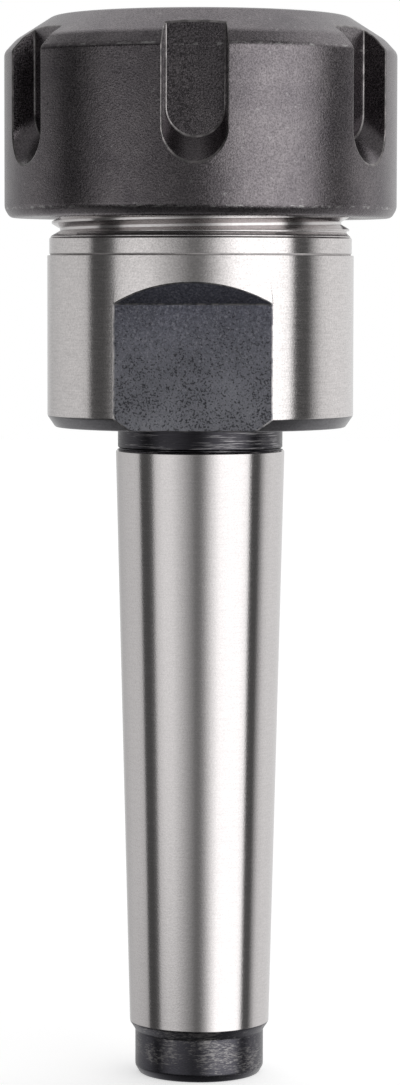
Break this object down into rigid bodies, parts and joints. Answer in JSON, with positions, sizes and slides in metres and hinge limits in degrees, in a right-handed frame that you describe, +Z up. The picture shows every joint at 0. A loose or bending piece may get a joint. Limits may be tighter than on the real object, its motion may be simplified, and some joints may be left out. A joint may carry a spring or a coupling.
{
  "type": "collet chuck holder",
  "caption": "Taper-shank collet chuck holder: a slotted screw-on clamping nut presses a slit spring collet into its socket to grip a round tool.",
  "frame": {"origin": "centre of the tail end's face, on the surface that the holder stands on", "axes": "+Z up along the turning axis from the tail to the nut's face; -Y squarely out of the front wrench flat"},
  "size_m": [0.042, 0.042, 0.1139],
  "materials": {
    "ground_steel": "cylindrically ground steel, black oxide on the flats, neck and tail",
    "black_oxide_steel": "black oxide, satin",
    "ring_steel": "turned bright",
    "collet_steel": "fine ground spring steel"
  },
  "bodies": {
    "holder": {"holder_body": "ground_steel"},
    "collet": {"spring_collet": "collet_steel", "extractor_ring": "ring_steel"},
    "nut": {"clamping_nut": "black_oxide_steel"}
  },
  "joints": [
    {"name": "collet_lift", "type": "slide", "parent": "holder", "child": "collet", "axis": [0, 0, 1], "range_m": [0, 0.00901]},
    {"name": "nut_turn", "type": "hinge", "parent": "collet", "child": "nut", "pos_m": [0, 0, 0.1032], "axis": [0, 0, 1], "range_deg": [0, 2160]}
  ],
  "couplings": [
    {"joint": "collet_lift", "follows": "nut_turn", "m_per_rad": 0.00023873}
  ]
}
